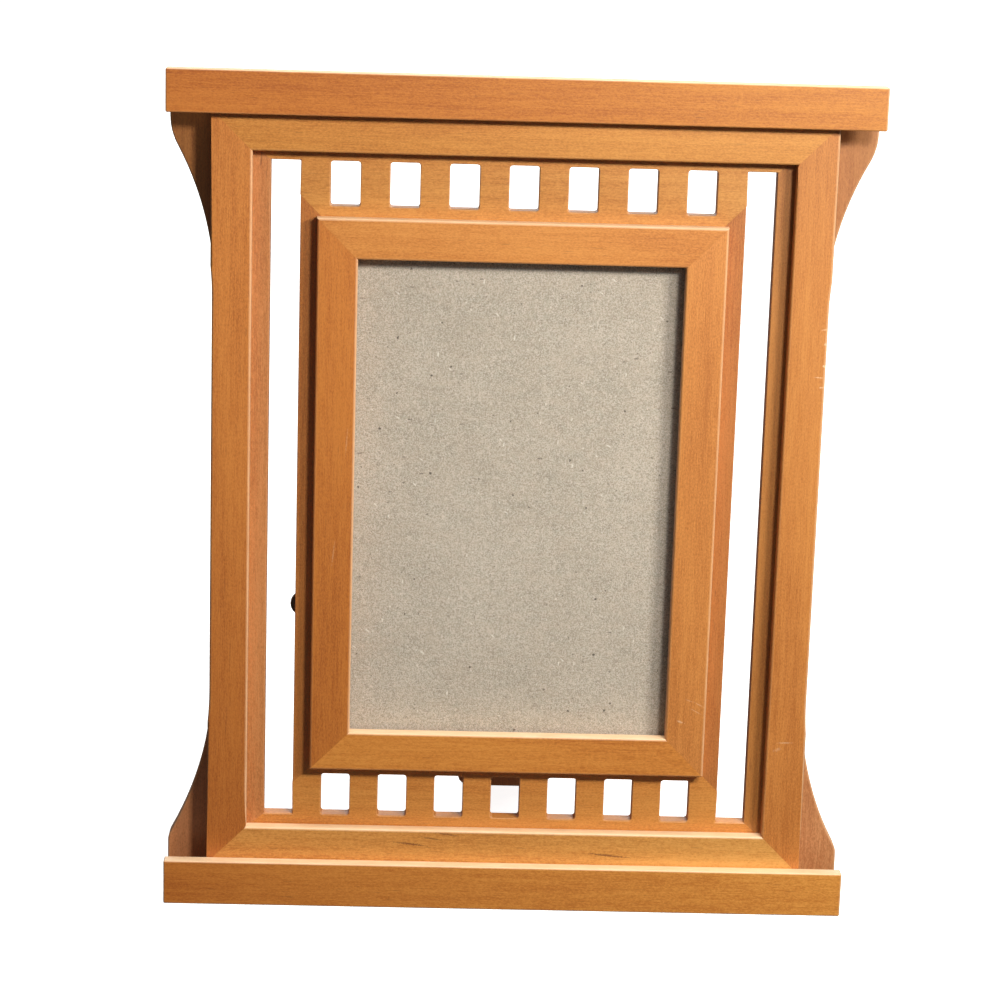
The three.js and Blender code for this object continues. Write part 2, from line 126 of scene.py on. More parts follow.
class Grain(Enum):
    """Which of the frame's own axes a board's grain runs along."""

    ACROSS = 0
    UPRIGHT = 2


class Head(Enum):
    """The kinds of fastener: the head's height and the shank's radius, in millimetres."""

    RIVET = (0.8, 0.9)
    SCREW = (1.4, 1.2)


@dataclass(frozen=True)
class Axes:
    """A turned set of axes: x to the right, y towards the back and z up the face, in millimetres.

    Attributes:
        tilt: How far the face leans back, in radians.
        origin: Where the axes start, in metres.
    """

    tilt: float
    origin: Vector

    @property
    def turn(self) -> Matrix:
        """The rotation from these axes to the world."""
        return Matrix.Rotation(-self.tilt, 3, "X")

    def place(self, x: float, y: float, z: float) -> Vector:
        """A point of these axes, in millimetres, as a point of the world, in metres."""
        return self.origin + self.turn @ (Vector((x, y, z)) * MM)

    def matrix(self, x: float, y: float, z: float) -> Matrix:
        """A placement at a point of these axes, turned with them and scaled from millimetres."""
        turned = self.turn.to_4x4() @ Matrix.Scale(MM, 4)
        return Matrix.Translation(self.place(x, y, z)) @ turned

    def own(self, direction: Vector) -> Vector:
        """A direction of the world, as these axes see it."""
        return self.turn.transposed() @ direction

    def box(self, node: str) -> tuple[Vector, Vector]:
        """A node's lowest and highest corners along these axes.

        Args:
            node: The node's name.

        Returns:
            Both corners, in millimetres.
        """
        back = self.turn.transposed()
        points = [back @ (v.co - self.origin) / MM for v in frame["nodes"][node].data.vertices]
        low = Vector([min(p[i] for p in points) for i in range(3)])
        high = Vector([max(p[i] for p in points) for i in range(3)])
        return low, high


class Register:
    """What the record says: each node's body and slot, and the joints."""

    def __init__(self) -> None:
        """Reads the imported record."""
        record = frame["record"]
        bodies = record["behaviour"]["bodies"]
        self.body = {node: body for body, nodes in bodies.items() for node in nodes}
        self.slot = {entry["node"]: entry["material_slot"] for entry in record["subparts"]}
        self.joints = {joint["name"]: joint for joint in frame["joints"]}

    def axes(self) -> tuple[Axes, Axes]:
        """The frame's own axes, from the middle of its front, and the open leg's, from its hinge.

        Returns:
            The frame's axes and the leg's axes.
        """
        normal = Vector(self.joints["button_turn_upper_left"]["axis"])
        lean = math.atan2(-normal.z, normal.y)
        level = Axes(lean, Vector((0, 0, 0)))
        low, _ = level.box("outer_rail_bottom")
        _, high = level.box("outer_rail_top")
        face = Axes(lean, level.place(0, low.y, (low.z + high.z) / 2))
        fold = self.joints["easel_fold"]
        spread = math.radians(fold["range_deg"][1] - fold["range_deg"][0])
        return face, Axes(lean - spread, Vector(fold["pos_m"]))

    def stand_in(self, piece: Object, node: str) -> None:
        """Shows a piece in the place of a node.

        Args:
            piece: The finished piece, in place.
            node: The node that it stands for.
        """
        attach(piece, self.body[node])
        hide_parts(node)
        LOG.info("%s: %d faces", piece.name, len(piece.data.polygons))


@dataclass(frozen=True)
class Mark:
    """A scratch, a nick or a dark streak on the face of a board.

    Attributes:
        x: Millimetres to the right of the frame's middle.
        z: Millimetres above it.
        length: Its length, in millimetres.
        width: Its width, in millimetres.
        slant: How far it rises to the right, in degrees.
        depth: How strongly it shows, dark where it is negative.
    """

    x: float
    z: float
    length: float
    width: float
    slant: float
    depth: float


class Shader:
    """One material's node tree, with short ways to add what the finishes share."""

    # Where most of a noise's values lie, and the part of it that a figure is drawn out from.
    NOISE_RANGE = (0.3, 0.7)
    SPREAD_RANGE = (0.32, 0.68)
    # From the frame's middle to where a board's tint has changed fully, in millimetres.
    TINT_REACH = 105.0
    # How far a speck's outline strays, and how often its fading rim goes into its radius.
    SPECK_STRAY = 1.6
    SPECK_RIMS = 3
    # A mark's reach into the board and the size of its notches, in millimetres.
    MARK_DEPTH = 3.0
    MARK_CELL = 0.5
    # How far its outline strays and where it starts to fade, as shares of its size.
    MARK_STRAY = 0.35
    MARK_CORE = 0.45
    # Sockets of the node that mixes colours, whose names aren't unique.
    MIX_SHARE, MIX_UNDER, MIX_OVER, MIX_RESULT = 0, 6, 7, 2

    def __init__(self, name: str) -> None:
        """Starts a material with its surface shader.

        Args:
            name: The material's name.
        """
        self.material = bpy.data.materials.new(name)
        self.material.use_nodes = True
        self.tree = self.material.node_tree
        self.surface = self.tree.nodes["Principled BSDF"]
        self.coords = self.add("ShaderNodeTexCoord").outputs["Object"]

    def add(self, kind: str, **settings: object) -> Node:
        """A new node.

        Args:
            kind: The node's type.
            **settings: Properties to set on it.

        Returns:
            The node.
        """
        node = self.tree.nodes.new(kind)
        for key, value in settings.items():
            setattr(node, key, value)
        return node

    def feed(self, node: Node, values: dict[int | str, object]) -> None:
        """Links a node's inputs, or sets plain values on them.

        Args:
            node: The node.
            values: What goes into each input, by its number or name.
        """
        for key, value in values.items():
            if isinstance(value, Socket):
                self.tree.links.new(value, node.inputs[key])
            else:
                node.inputs[key].default_value = value

    def set(self, **values: object) -> None:
        """Feeds the surface's inputs, named with underscores for spaces."""
        self.feed(self.surface, {key.replace("_", " "): value for key, value in values.items()})

    def stretched(
        self, axes: Axes, cell: Sequence[float], shift: Sequence[float] = (0, 0, 0), slant: float = 0
    ) -> Socket:
        """Object coordinates along a set of axes, counted in cells.

        Args:
            axes: The axes that the pattern follows.
            cell: The size of one cell along each axis, in millimetres.
            shift: How far the pattern is moved along each, in millimetres.
            slant: How far the pattern is turned in the face, in degrees.

        Returns:
            The vector socket.
        """
        mapping = self.add("ShaderNodeMapping", vector_type="TEXTURE")
        slanted = axes.turn @ Matrix.Rotation(-math.radians(slant), 3, "Y")
        self.feed(mapping, {"Vector": self.coords, "Location": axes.place(*shift)})
        self.feed(mapping, {"Rotation": slanted.to_euler(), "Scale": Vector(cell) * MM})
        return mapping.outputs["Vector"]

    def cells(self, axes: Axes, *size: float) -> Socket:
        """Coordinates in cells of a size in millimetres: one for all three axes, or one for each."""
        return self.stretched(axes, size * 3 if len(size) == 1 else size)

    def noise(self, vector: Socket, detail: float = 2, roughness: float = 0.5, warp: float = 0) -> Socket:
        """Fractal noise, one feature to a cell.

        Args:
            vector: Where it is read.
            detail: How many octaves.
            roughness: How strong the finer octaves are.
            warp: How far it is distorted.

        Returns:
            The value socket.
        """
        node = self.add("ShaderNodeTexNoise")
        self.feed(node, {"Vector": vector, "Scale": 1.0, "Detail": detail})
        self.feed(node, {"Roughness": roughness, "Distortion": warp})
        return node.outputs[0]

    def specks(self, vector: Socket, radius: float, share: float, ragged: Socket) -> Socket:
        """Scattered specks of uneven shape, at most one to a cell.

        Args:
            vector: Where they are read.
            radius: A speck's radius, in cells.
            share: The share of cells that hold one.
            ragged: Noise round 0 that makes their edges uneven.

        Returns:
            A mask, 1 inside a speck.
        """
        node = self.add("ShaderNodeTexVoronoi", feature="F1")
        self.feed(node, {"Vector": vector, "Scale": 1.0})
        chance = self.add("ShaderNodeTexWhiteNoise", noise_dimensions="3D")
        self.feed(chance, {"Vector": node.outputs["Position"]})
        parts = self.add("ShaderNodeSeparateColor")
        self.feed(parts, {0: chance.outputs["Color"]})
        chosen = self.math("LESS_THAN", parts.outputs[0], share)
        size = self.math("ADD", parts.outputs[1], self.math("MULTIPLY", ragged, self.SPECK_STRAY))
        size = self.math("MULTIPLY", size, radius)
        inside = self.math("SUBTRACT", size, node.outputs["Distance"])
        return self.math("MULTIPLY", self.mask(inside, 0, radius / self.SPECK_RIMS), chosen)

    def along(self, axes: Axes, grain: Grain) -> Socket:
        """How far along the frame a point lies: 0 at the left or lower end, 1 at the other."""
        parts = self.add("ShaderNodeSeparateXYZ")
        self.feed(parts, {0: self.cells(axes, self.TINT_REACH)})
        return self.mask(parts.outputs[grain.value], -1, 1)

    def mark(self, axes: Axes, mark: Mark) -> Socket:
        """A single mark on a face, ragged along its length.

        Args:
            axes: The frame's axes.
            mark: The mark.

        Returns:
            A mask, 1 in the middle of the mark.
        """
        size = (mark.length / 2, self.MARK_DEPTH, mark.width / 2)
        spot = self.stretched(axes, size, (mark.x, 0, mark.z), mark.slant)
        reach = self.add("ShaderNodeVectorMath", operation="LENGTH")
        self.feed(reach, {0: spot})
        ragged = self.noise(self.cells(axes, self.MARK_CELL), detail=1)
        stray = self.between(ragged, -self.MARK_STRAY, self.MARK_STRAY)
        outline = self.math("ADD", reach.outputs["Value"], stray)
        return self.remap(outline, self.MARK_CORE, 1.0, 1, 0)

    def math(self, operation: str, first: object, second: object) -> Socket:
        """Two values combined."""
        node = self.add("ShaderNodeMath", operation=operation)
        self.feed(node, {0: first, 1: second})
        return node.outputs[0]

    def remap(self, value: Socket, low: float, high: float, to_low: float, to_high: float) -> Socket:
        """A value moved from one range to another, and kept inside it."""
        node = self.add("ShaderNodeMapRange", clamp=True)
        self.feed(node, dict(enumerate((value, low, high, to_low, to_high))))
        return node.outputs[0]

    def mask(self, value: Socket, low: float, high: float) -> Socket:
        """A value as a mask: 0 up to the low end of a range, 1 from its high end."""
        return self.remap(value, low, high, 0, 1)

    def spread(self, noise: Socket) -> Socket:
        """Noise drawn out to the whole range from 0 to 1."""
        return self.mask(noise, *self.SPREAD_RANGE)

    def between(self, noise: Socket, low: float, high: float) -> Socket:
        """Noise moved to a range."""
        return self.remap(noise, *self.NOISE_RANGE, low, high)

    def total(self, *parts: tuple[Socket, float]) -> Socket:
        """Patterns added up, each by its weight."""
        weighed = [self.math("MULTIPLY", part, weight) for part, weight in parts]
        return reduce(partial(self.math, "ADD"), weighed)

    def ramp(self, value: Socket, stops: Sequence[tuple[float, Colour]]) -> Socket:
        """A value as a colour.

        Args:
            value: The value.
            stops: Positions with their colours, in order.

        Returns:
            The colour socket.
        """
        node = self.add("ShaderNodeValToRGB")
        items = node.color_ramp.elements
        while len(items) < len(stops):
            items.new(1.0)
        for item, (position, colour) in zip(items, stops):
            item.position = position
            item.color = colour
        self.feed(node, {"Fac": value})
        return node.outputs["Color"]

    def blend(self, share: object, under: object, over: object) -> Socket:
        """One colour laid over another, by a share."""
        node = self.add("ShaderNodeMix", data_type="RGBA")
        self.feed(node, {self.MIX_SHARE: share, self.MIX_UNDER: under, self.MIX_OVER: over})
        return node.outputs[self.MIX_RESULT]

    def laid(self, mask: Socket, share: float, under: object, over: object) -> Socket:
        """One colour laid over another through a mask, by a share."""
        return self.blend(self.math("MULTIPLY", mask, share), under, over)

    def eased(self) -> Socket:
        """How pale a face is made, from its attribute: wear, and painted highlight where the face looks up or to
        the right.
        """
        return self.add("ShaderNodeAttribute", attribute_name=PALE_WEAR_AND_LIGHT).outputs["Fac"]

    def relief(self, height: Socket, depth_mm: float, strength: float) -> None:
        """Raises the surface by a height pattern."""
        node = self.add("ShaderNodeBump")
        self.feed(node, {"Strength": strength, "Distance": depth_mm * MM, "Height": height})
        self.set(Normal=node.outputs["Normal"])


@dataclass(frozen=True)
class HoneyWood:
    """Close-grained softwood under a honey stain and a satin lacquer.

    Attributes:
        light: Stain on the open early wood.
        honey: The main colour.
        dark: Stain on the dense late wood.
        pore: Short resin ducts that take more stain.
        worn_and_lit: The pale colour laid on as painted highlight where faces and edges look up or to the right,
            and as real scuffing along the edges and in pale nicks.
    """

    # How far apart two boards lie in the log along each axis, in millimetres.
    LOG_STEP = (37.0, 11.3, 53.0)

    light: Colour
    honey: Colour
    dark: Colour
    pore: Colour
    worn_and_lit: Colour

    def material(
        self, name: str, axes: Axes, grain: Grain, seed: int, tone_and_light: Tints, marks: Sequence[Mark] = ()
    ) -> Material:
        """The finish on one board.

        Args:
            name: The material's name.
            axes: The axes that the board lies along.
            grain: Which of them the grain follows.
            seed: Which part of the log the board came from.
            tone_and_light: How its colour is changed at its left or lower end, and at the other: partly its own
                tone, partly painted light and shade.
            marks: Scratches and streaks on its face.

        Returns:
            The material.
        """
        shader = Shader(name)
        shift = [step * seed for step in self.LOG_STEP]

        def cells(along: float, across: float) -> Socket:
            """Coordinates in cells that are long along the grain, in millimetres."""
            size = [across, across, across]
            size[grain.value] = along
            return shader.stretched(axes, size, shift)

        broad = shader.noise(cells(along=120, across=16), detail=3, warp=0.6)
        rings = shader.noise(cells(along=90, across=2.2), detail=3, roughness=0.6, warp=0.4)
        fibre = shader.spread(shader.noise(cells(along=7, across=0.3), detail=3, roughness=0.65))
        fleck = shader.spread(shader.noise(cells(along=0.8, across=0.4), detail=2, roughness=0.7))
        ducts = shader.mask(shader.noise(cells(along=6, across=0.42), detail=1), 0.68, 0.78)
        patch = shader.mask(shader.noise(cells(along=40, across=9), detail=1), 0.45, 0.7)
        ducts = shader.math("MULTIPLY", ducts, patch)
        figure = shader.total((broad, 0.42), (rings, 0.25), (fibre, 0.14), (fleck, 0.19))
        stops = ((0.36, self.dark), (0.5, self.honey), (0.64, self.light))
        # Both ends' colours, blended along the board: own tone plus painted light falloff, painted shade and
        # painted sheen.
        tones = ([(at, toned(colour, tint)) for at, colour in stops] for tint in tone_and_light)
        near, far = (shader.ramp(figure, tone) for tone in tones)
        stain = shader.blend(shader.along(axes, grain), near, far)
        stain = shader.laid(ducts, 0.5, stain, self.pore)
        for mark in marks:
            tone = self.worn_and_lit if mark.depth > 0 else self.pore
            stain = shader.laid(shader.mark(axes, mark), abs(mark.depth), stain, tone)
        # Pale colour laid on by the face attribute: painted highlight where faces and edges look up or to the
        # right, with a little real scuffing.
        rubbed_and_lit = shader.noise(cells(along=9, across=2.5), detail=3, roughness=0.65)
        rubbed_and_lit = shader.math("MULTIPLY", shader.remap(rubbed_and_lit, 0.35, 0.7, 0.7, 0.95), shader.eased())
        shader.set(Base_Color=shader.blend(rubbed_and_lit, stain, self.worn_and_lit))
        shader.set(Roughness=shader.remap(fibre, 0, 1, 0.44, 0.58))
        shader.set(Specular_IOR_Level=0.5, Coat_Weight=0.7, Coat_Roughness=0.46)
        height = shader.math("SUBTRACT", shader.math("ADD", fibre, fleck), ducts)
        shader.relief(height, depth_mm=0.05, strength=0.3)
        return shader.material


@dataclass(frozen=True)
class Chipboard:
    """Grey recycled paper board with fibres and flecks.

    Attributes:
        pale: The lighter pulp.
        middle: The main colour.
        grey: The darker pulp.
        moss: A greener cast in places.
        buff: A warmer cast in places.
        dark: Dark flecks.
        straw: Straw-coloured flecks.
        slants: How the fibres lie, in degrees.
    """

    pale: Colour = srgb(226, 213, 196)
    middle: Colour = srgb(194, 181, 163)
    grey: Colour = srgb(154, 141, 122)
    moss: Colour = srgb(182, 176, 154)
    buff: Colour = srgb(204, 183, 160)
    dark: Colour = srgb(74, 60, 44)
    straw: Colour = srgb(255, 250, 236)
    slants: tuple[float, ...] = (4.0, 86.0, 140.0)

    def material(self, name: str, axes: Axes) -> Material:
        """The finish, along a set of axes."""
        shader = Shader(name)
        cells = partial(shader.cells, axes)
        cloud = shader.noise(cells(20), detail=4, roughness=0.6)
        pulp = shader.noise(cells(0.42), detail=3, roughness=0.7)
        parts = [(cloud, 0.14), (pulp, 0.91)]
        for slant in self.slants:
            lay = shader.stretched(axes, cell=(1.5, 1.0, 0.22), shift=(slant, 0, slant), slant=slant)
            parts.append((shader.noise(lay, detail=2), 0.15))
        value = shader.total(*parts)
        paper = shader.ramp(value, ((0.63, self.grey), (0.75, self.middle), (0.87, self.pale)))
        hue = shader.spread(shader.noise(cells(2.2), detail=3, roughness=0.6))
        paper = shader.laid(hue, 0.35, paper, self.moss)
        warm = shader.spread(shader.noise(cells(7.0, 5.0, 3.0), detail=4, roughness=0.7))
        paper = shader.laid(warm, 0.35, paper, self.buff)
        ragged = shader.math("SUBTRACT", shader.noise(cells(0.35), detail=2), 0.5)
        for index, slant in enumerate(self.slants):
            lay = shader.stretched(axes, cell=(6.5, 5.0, 2.0), shift=(17 + slant, 0, 31), slant=slant)
            hairs = shader.specks(lay, radius=0.15, share=0.35, ragged=ragged)
            paper = shader.laid(hairs, 0.6, paper, self.straw if index else self.dark)
        chaff = shader.specks(cells(1.7, 1.7, 1.9), radius=0.2, share=0.45, ragged=ragged)
        dust = shader.specks(cells(1.2), radius=0.26, share=0.4, ragged=ragged)
        crumbs = shader.specks(cells(3.0), radius=0.16, share=0.45, ragged=ragged)
        paper = shader.laid(chaff, 0.4, paper, self.straw)
        paper = shader.laid(dust, 0.45, paper, self.dark)
        paper = shader.laid(crumbs, 0.85, paper, self.dark)
        shader.set(Base_Color=paper, Roughness=shader.between(pulp, 0.8, 0.95), Specular_IOR_Level=0.2)
        shader.relief(value, depth_mm=0.12, strength=0.5)
        return shader.material


@dataclass(frozen=True)
class Hardboard:
    """Smooth brown pressed fibre board.

    Attributes:
        pale: The lighter fibre.
        brown: The darker fibre.
    """

    pale: Colour = srgb(142, 104, 68)
    brown: Colour = srgb(104, 70, 42)

    def material(self, name: str, axes: Axes) -> Material:
        """The finish, along a set of axes."""
        shader = Shader(name)
        cloud = shader.noise(shader.cells(axes, 22), detail=3)
        fleck = shader.noise(shader.cells(axes, 0.8), detail=4, roughness=0.7)
        strand = shader.noise(shader.cells(axes, 4, 1, 0.5), detail=2)
        value = shader.total((cloud, 0.4), (fleck, 0.4), (strand, 0.2))
        shader.set(Base_Color=shader.ramp(value, ((0.36, self.brown), (0.64, self.pale))))
        shader.set(Roughness=shader.between(fleck, 0.5, 0.7))
        shader.relief(fleck, depth_mm=0.05, strength=0.4)
        return shader.material


@dataclass(frozen=True)
class Steel:
    """Plated or blackened sheet steel, a little scuffed, with painted highlight on eased edges that face up or to
    the right.

    Attributes:
        plate: The plating's colour.
        rubbed_and_lit: The colour where it is scuffed, also laid on as painted highlight on eased edges that face
            up or to the right.
        shine: Roughness where it is smooth.
        dull: Roughness where it is dull.
    """

    plate: Colour
    rubbed_and_lit: Colour
    shine: float
    dull: float

    def material(self, name: str, axes: Axes) -> Material:
        """The finish, brushed along a set of axes."""
        shader = Shader(name)
        brushed = shader.noise(shader.cells(axes, 6, 0.12, 0.12), detail=3, roughness=0.6)
        stain = shader.noise(shader.cells(axes, 3), detail=4, roughness=0.6)
        # Scuffing from noise, and painted highlight from the face attribute on eased edges that face up or to the
        # right.
        wear_and_light = shader.math("MAXIMUM", shader.remap(stain, 0.5, 0.75, 0, 0.6), shader.eased())
        shader.set(Base_Color=shader.blend(wear_and_light, self.plate, self.rubbed_and_lit), Metallic=1.0)
        shader.set(Roughness=shader.between(brushed, self.shine, self.dull))
        shader.relief(brushed, depth_mm=0.01, strength=0.25)
        return shader.material


@dataclass(frozen=True)
class ClearGlass:
    """Thin clear sheet glass: a faint sheen over what lies behind it.

    Attributes:
        tint: The colour of the sheen.
        cover: How much of it shows.
    """

    tint: Colour = srgb(236, 242, 238)
    cover: float = 0.05

    def material(self, name: str, axes: Axes) -> Material:
        """The finish, with the faint unevenness of drawn sheet."""
        shader = Shader(name)
        drawn = shader.noise(shader.cells(axes, 60, 60, 25), detail=1)
        shader.set(Base_Color=self.tint, Alpha=self.cover)
        shader.set(Roughness=shader.between(drawn, 0.03, 0.08))
        shader.relief(drawn, depth_mm=0.02, strength=0.2)
        return shader.material


RAIL_WOOD = HoneyWood(
    light=srgb(226, 153, 70),
    honey=srgb(212, 137, 57),
    dark=srgb(190, 113, 40),
    pore=srgb(104, 52, 18),
    worn_and_lit=srgb(254, 224, 182),
)
STILE_WOOD = HoneyWood(
    light=srgb(220, 140, 66),
    honey=srgb(206, 125, 56),
    dark=srgb(182, 103, 40),
    pore=srgb(100, 48, 18),
    worn_and_lit=srgb(250, 210, 164),
)
LAYER_WOOD = HoneyWood(
    light=srgb(218, 150, 94),
    honey=srgb(203, 136, 80),
    dark=srgb(180, 112, 62),
    pore=srgb(104, 56, 28),
    worn_and_lit=srgb(250, 206, 158),
)
BRIGHT_STEEL = Steel(plate=srgb(176, 170, 158), rubbed_and_lit=srgb(206, 202, 192), shine=0.28, dull=0.45)
DARK_STEEL = Steel(plate=srgb(96, 88, 80), rubbed_and_lit=srgb(146, 136, 124), shine=0.35, dull=0.55)

# How much of the wood's red, green and blue show at a board's left or lower end, and at the other. This is partly
# each board's own tone and partly painted light: painted shade darkens boards and ends that lie in shade
# (left-hand stiles and strips, the right edge strip, the wings' upper ends), and painted sheen pales and whitens
# others (the base bar's right end, the lower outer rail, the right inner stile).
PLAIN: Tints = ((1.0, 1.0, 1.0), (1.0, 1.0, 1.0))
BOARD_TONE_AND_LIGHT: dict[str, Tints] = {
    "top_bar": ((0.84, 0.65, 0.41), (0.84, 0.77, 0.46)),
    "base_bar": ((0.88, 0.7, 0.46), (1.24, 1.34, 1.32)),
    "outer_rail_top": ((1.0, 1.0, 0.88), (0.93, 0.98, 0.9)),
    "outer_rail_bottom": ((1.07, 1.15, 1.33), (1.05, 1.28, 1.58)),
    "outer_stile_left": ((0.82, 0.7, 0.41), (1.08, 1.09, 0.9)),
    "outer_stile_right": ((1.03, 1.1, 0.98), (0.93, 1.0, 0.9)),
    "inner_rail_top": ((1.0, 0.95, 0.93), (0.97, 0.93, 0.93)),
    "inner_rail_bottom": ((1.02, 0.95, 0.76), (1.02, 0.95, 0.8)),
    "inner_stile_left": ((0.86, 0.76, 0.42), (0.96, 0.9, 0.6)),
    "inner_stile_right": ((1.08, 1.2, 1.2), (1.08, 1.2, 1.2)),
    "fret_top": ((0.95, 0.98, 1.0), (0.9, 0.98, 1.05)),
    "edge_strip_left": ((0.96, 0.9, 0.76), (0.96, 0.9, 0.76)),
    "edge_strip_right": ((0.77, 0.69, 0.34), (0.77, 0.69, 0.34)),
    "fret_strip_left": ((0.91, 0.75, 0.37), (0.91, 0.75, 0.37)),
    "fret_strip_right": ((0.83, 0.68, 0.4), (0.83, 0.68, 0.4)),
    "side_wing_left": ((1.12, 1.02, 1.08), (0.76, 0.65, 0.34)),
    "side_wing_right": ((1.02, 1.08, 1.2), (0.63, 0.57, 0.38)),
}

# The wear that shows on single boards: x, z, length, width, slant and depth of each mark.
BOARD_MARKS: dict[str, Sequence[Mark]] = {
    "outer_stile_right": (
        Mark(88.6, 40.9, 3.4, 0.35, -4, 0.7),
        Mark(89.6, 55.3, 2.6, 0.5, 8, 0.6),
        Mark(90.3, 51.0, 1.8, 0.9, 20, 0.7),
        Mark(90.2, 44.2, 1.6, 0.8, -30, 0.8),
        Mark(89.6, 37.9, 2.2, 0.5, 6, 0.6),
        Mark(84.6, -72.8, 5.0, 0.45, 2, 0.4),
        Mark(82.4, -75.0, 3.0, 1.2, 20, 0.22),
    ),
    "inner_stile_left": (
        Mark(-50.4, 18.0, 9.0, 0.5, 86, 0.2),
        Mark(-53.8, -16.4, 8.0, 0.5, 84, 0.2),
        Mark(-56.2, -8.0, 16.0, 0.3, 88, -0.22),
        Mark(-55.3, -38.6, 11.0, 0.3, 89, -0.22),
    ),
    "outer_stile_left": (
        Mark(-84.3, -48.7, 12.0, 0.4, 88, -0.2),
        Mark(-85.3, -69.2, 10.0, 0.4, 87, -0.2),
    ),
    "inner_stile_right": (
        Mark(52.4, -66.8, 2.6, 0.7, -20, 0.55),
        Mark(57.8, -61.2, 4.0, 0.3, -28, 0.4),
        Mark(57.0, -63.4, 4.5, 0.3, -28, 0.3),
        Mark(54.8, -60.0, 2.4, 0.3, -20, 0.3),
    ),
    "outer_rail_bottom": (
        Mark(-28.8, -107.9, 10.5, 0.8, -6, -0.7),
        Mark(-22.5, -106.0, 7.5, 0.7, -8, -0.55),
        Mark(-17.5, -104.6, 8.5, 0.7, -8, -0.55),
        Mark(32.0, -110.4, 14.5, 0.8, -5, -0.7),
    ),
}


@dataclass(frozen=True)
class Easing:
    """How the edges of a copied piece are eased.

    Attributes:
        width_mm: Width of the rounding.
        segments: Facets across it.
        keep_joints: Whether mitred faces keep their crisp edges, so that a joint shows as a line.
        worn_and_lit: Whether its edges and sides are made pale: wear, and painted highlight where they face up or
            to the right.
    """

    width_mm: float
    segments: int = 3
    keep_joints: bool = True
    worn_and_lit: bool = True


